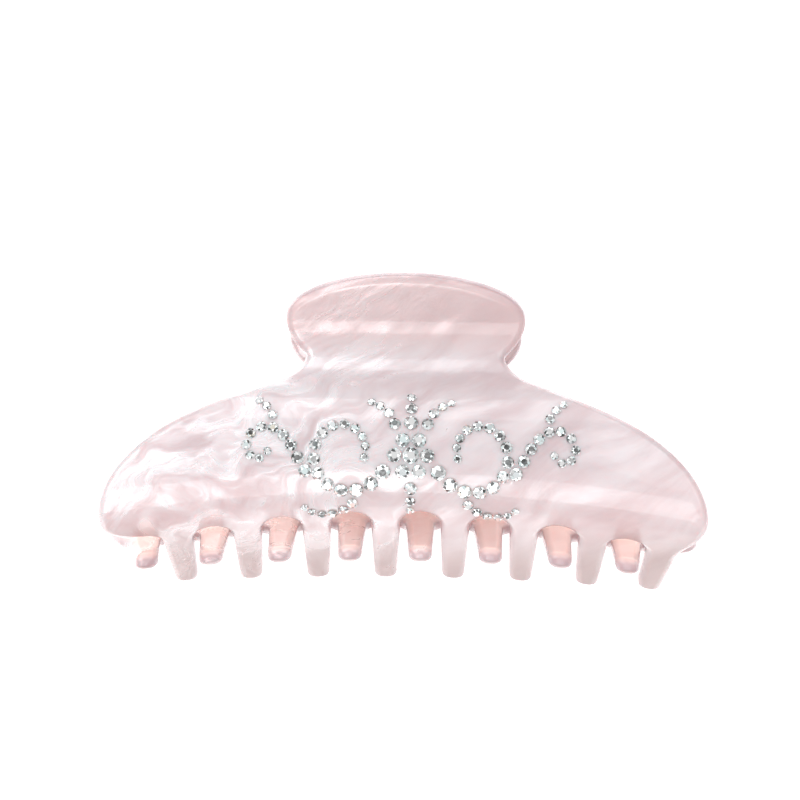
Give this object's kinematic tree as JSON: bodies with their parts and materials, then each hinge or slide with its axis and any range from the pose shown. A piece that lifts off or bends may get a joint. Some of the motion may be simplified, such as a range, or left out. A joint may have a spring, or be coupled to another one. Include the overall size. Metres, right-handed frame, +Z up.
{
  "type": "claw hair clip",
  "caption": "Large wing-shaped claw clip of pearly acetate: two curved jaws with interleaved teeth, rounded squeeze handles, a sprung hinge and a scrolled ornament of crystals.",
  "frame": {"origin": "under the middle of the clip's box, on the surface that it lies on", "axes": "+X along the hinge pin, +Y from the teeth to the handles, +Z up, out of the front jaw; the clip is closed and lies on its back"},
  "size_m": [0.1084, 0.0546, 0.0329],
  "materials": {
    "pearl_acetate": "pale pink mother-of-pearl swirl, polished",
    "knuckle_acetate": "pale pink, polished",
    "hinge_steel": "bright drawn wire",
    "crystal": "foil-backed faceted clear glass"
  },
  "bodies": {
    "rear_half": {"rear_jaw": "pearl_acetate", "rear_outer_knuckle": "knuckle_acetate", "rear_inner_knuckle": "knuckle_acetate", "hinge_pin": "hinge_steel", "torsion_spring": "hinge_steel"},
    "front_half": {"front_jaw": "pearl_acetate", "front_outer_knuckle": "knuckle_acetate", "front_inner_knuckle": "knuckle_acetate", "crystal_01": "crystal", "crystal_02": "crystal", "crystal_03": "crystal", "crystal_04": "crystal", "crystal_05": "crystal", "crystal_06": "crystal", "crystal_07": "crystal", "crystal_08": "crystal", "crystal_09": "crystal", "crystal_10": "crystal", "crystal_11": "crystal", "crystal_12": "crystal", "crystal_13": "crystal", "crystal_14": "crystal", "crystal_15": "crystal", "crystal_16": "crystal", "crystal_17": "crystal", "crystal_18": "crystal", "crystal_19": "crystal", "crystal_20": "crystal", "crystal_21": "crystal", "crystal_22": "crystal", "crystal_23": "crystal", "crystal_24": "crystal", "crystal_25": "crystal", "crystal_26": "crystal", "crystal_27": "crystal", "crystal_28": "crystal", "crystal_29": "crystal", "crystal_30": "crystal", "crystal_31": "crystal", "crystal_32": "crystal", "crystal_33": "crystal", "crystal_34": "crystal", "crystal_35": "crystal", "crystal_36": "crystal", "crystal_37": "crystal", "crystal_38": "crystal", "crystal_39": "crystal", "crystal_40": "crystal", "crystal_41": "crystal", "crystal_42": "crystal", "crystal_43": "crystal", "crystal_44": "crystal", "crystal_45": "crystal", "crystal_46": "crystal", "crystal_47": "crystal", "crystal_48": "crystal", "crystal_49": "crystal", "crystal_50": "crystal", "crystal_51": "crystal"}
  },
  "joints": [
    {"name": "jaw_hinge", "type": "hinge", "parent": "rear_half", "child": "front_half", "pos_m": [0, 0.01367, 0.01593], "axis": [-1, 0, 0], "range_deg": [0, 80], "stiffness_Nm_per_rad": 0.06, "springref_deg": -45.84, "deforming": ["torsion_spring"]}
  ]
}
